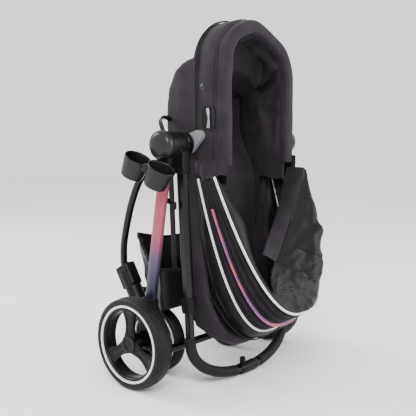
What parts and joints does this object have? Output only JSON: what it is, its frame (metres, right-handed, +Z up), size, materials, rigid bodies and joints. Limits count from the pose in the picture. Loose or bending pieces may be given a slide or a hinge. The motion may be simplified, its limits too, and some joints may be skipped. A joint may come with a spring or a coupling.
{
  "type": "pet stroller",
  "caption": "Folded pet stroller standing upright: round-topped open carrier over a pleated canopy, curved front frame with swivel casters, basket, telescopic handle and side cup holder.",
  "frame": {"origin": "middle of the box around the folded stroller, on the floor", "axes": "+Z up, +X along the wheel axles towards the right side, +Y towards the basket and the front legs; the carrier opens towards -Y"},
  "size_m": [0.5405, 0.4601, 0.8],
  "materials": {
    "black_frame": "satin black powder coat",
    "hinge_plastic": "satin dark grey",
    "dark_plastic": "fine black grain",
    "cup_plastic": "satin dark grey",
    "leg_pink": "pink metallic that fades to navy lower down",
    "tyre": "black foam rubber",
    "trim_white": "white",
    "rim_black": "satin black",
    "steel": "plain steel",
    "grip": "black foam",
    "adapter_grey": "light grey",
    "grey_fabric": "dark purplish grey woven cloth",
    "black_fabric": "black woven cloth",
    "mesh": "black see-through mesh",
    "pleats": "black and purple grey pleated cloth"
  },
  "bodies": {
    "frame": {"rear_leg_left": "leg_pink", "rear_leg_right": "leg_pink", "rear_foot_left": "dark_plastic", "rear_foot_right": "dark_plastic", "rear_axle_left": "steel", "rear_axle_right": "steel", "rear_crossbar": "black_frame", "hinge_housing_left": "dark_plastic", "hinge_housing_right": "dark_plastic", "hinge_cap_left": "hinge_plastic", "hinge_cap_right": "hinge_plastic", "hinge_pin_left": "steel", "hinge_pin_right": "steel", "cup_holder": "cup_plastic", "basket": "black_fabric"},
    "handle": {"handle_arm_left": "black_frame", "handle_arm_right": "black_frame", "handle_knuckle_left": "dark_plastic", "handle_knuckle_right": "dark_plastic", "handle_collar_left": "dark_plastic", "handle_collar_right": "dark_plastic"},
    "handle_slider": {"handle_bar": "black_frame", "handle_grip_left": "grip", "handle_grip_right": "grip", "handle_release_case": "dark_plastic"},
    "release_button": {"handle_button": "dark_plastic"},
    "front_legs": {"front_frame": "black_frame", "caster_housing_left": "dark_plastic", "caster_housing_right": "dark_plastic"},
    "caster_left": {"caster_fork_left": "dark_plastic", "front_axle_left": "steel"},
    "caster_right": {"caster_fork_right": "dark_plastic", "front_axle_right": "steel"},
    "front_wheel_left": {"front_tyre_left": "tyre", "front_trim_ring_left": "trim_white", "front_rim_left": "rim_black"},
    "front_wheel_right": {"front_tyre_right": "tyre", "front_trim_ring_right": "trim_white", "front_rim_right": "rim_black"},
    "rear_wheel_left": {"rear_tyre_left": "tyre", "rear_trim_ring_left": "trim_white", "rear_rim_left": "rim_black"},
    "rear_wheel_right": {"rear_tyre_right": "tyre", "rear_trim_ring_right": "trim_white", "rear_rim_right": "rim_black"},
    "carrier": {"carrier_tub": "grey_fabric", "rim_hoop": "steel", "carrier_lip": "grey_fabric", "carrier_mat": "black_fabric", "carrier_adapter_left": "adapter_grey", "carrier_adapter_right": "adapter_grey", "canopy_hub_left": "dark_plastic", "canopy_hub_right": "dark_plastic", "canopy_back_cover": "mesh"},
    "canopy_middle": {"canopy_bow_rear": "trim_white", "canopy_pleats": "pleats"},
    "canopy_front": {"canopy_bow_front": "trim_white", "canopy_front_cover": "mesh"},
    "brake": {"brake_pedal": "dark_plastic"},
    "fold_catch": {"fold_lock_hook": "dark_plastic"}
  },
  "joints": [
    {"name": "handle_fold", "type": "hinge", "parent": "frame", "child": "handle", "pos_m": [0, -0.013, 0.537], "axis": [-1, 0, 0], "range_deg": [0, 100]},
    {"name": "handle_extend", "type": "slide", "parent": "handle", "child": "handle_slider", "axis": [0, -0.0593, -0.9982], "range_m": [0, 0.15]},
    {"name": "release_button_press", "type": "slide", "parent": "handle_slider", "child": "release_button", "axis": [0, -0.0593, -0.9982], "range_m": [0, 0.0045], "stiffness_N_per_m": 600, "springref_m": -0.001},
    {"name": "front_legs_fold", "type": "hinge", "parent": "frame", "child": "front_legs", "pos_m": [0, -0.013, 0.537], "axis": [1, 0, 0], "range_deg": [0, 56]},
    {"name": "carrier_fold", "type": "hinge", "parent": "frame", "child": "carrier", "pos_m": [0, -0.013, 0.537], "axis": [-1, 0, 0], "range_deg": [0, 55]},
    {"name": "canopy_middle_fold", "type": "hinge", "parent": "carrier", "child": "canopy_middle", "pos_m": [0, -0.059, 0.474], "axis": [-1, 0, 0], "range_deg": [0, 42]},
    {"name": "canopy_front_fold", "type": "hinge", "parent": "canopy_middle", "child": "canopy_front", "pos_m": [0, -0.059, 0.474], "axis": [-1, 0, 0], "range_deg": [0, 52]},
    {"name": "caster_swivel_left", "type": "hinge", "parent": "front_legs", "child": "caster_left", "pos_m": [-0.129, 0.1867, 0.1988], "axis": [0, 0.5299, 0.848], "continuous": true},
    {"name": "front_wheel_spin_left", "type": "hinge", "parent": "caster_left", "child": "front_wheel_left", "pos_m": [-0.129, 0.097, 0.078], "axis": [1, 0, 0], "continuous": true},
    {"name": "caster_swivel_right", "type": "hinge", "parent": "front_legs", "child": "caster_right", "pos_m": [0.129, 0.1867, 0.1988], "axis": [0, 0.5299, 0.848], "continuous": true},
    {"name": "front_wheel_spin_right", "type": "hinge", "parent": "caster_right", "child": "front_wheel_right", "pos_m": [0.129, 0.097, 0.078], "axis": [1, 0, 0], "continuous": true},
    {"name": "rear_wheel_spin_left", "type": "hinge", "parent": "frame", "child": "rear_wheel_left", "pos_m": [-0.244, 0.057, 0.102], "axis": [1, 0, 0], "continuous": true},
    {"name": "rear_wheel_spin_right", "type": "hinge", "parent": "frame", "child": "rear_wheel_right", "pos_m": [0.244, 0.057, 0.102], "axis": [1, 0, 0], "continuous": true},
    {"name": "brake_press", "type": "hinge", "parent": "frame", "child": "brake", "pos_m": [0, 0.005, 0.084], "axis": [1, 0, 0], "range_deg": [0, 25]},
    {"name": "fold_catch_lift", "type": "hinge", "parent": "frame", "child": "fold_catch", "pos_m": [-0.1935, 0.007, 0.418], "axis": [-1, 0, 0], "range_deg": [0, 40]}
  ],
  "couplings": [
    {"joint": "front_legs_fold", "follows": "handle_fold", "ratio": 0.56},
    {"joint": "carrier_fold", "follows": "handle_fold", "ratio": 0.55}
  ]
}
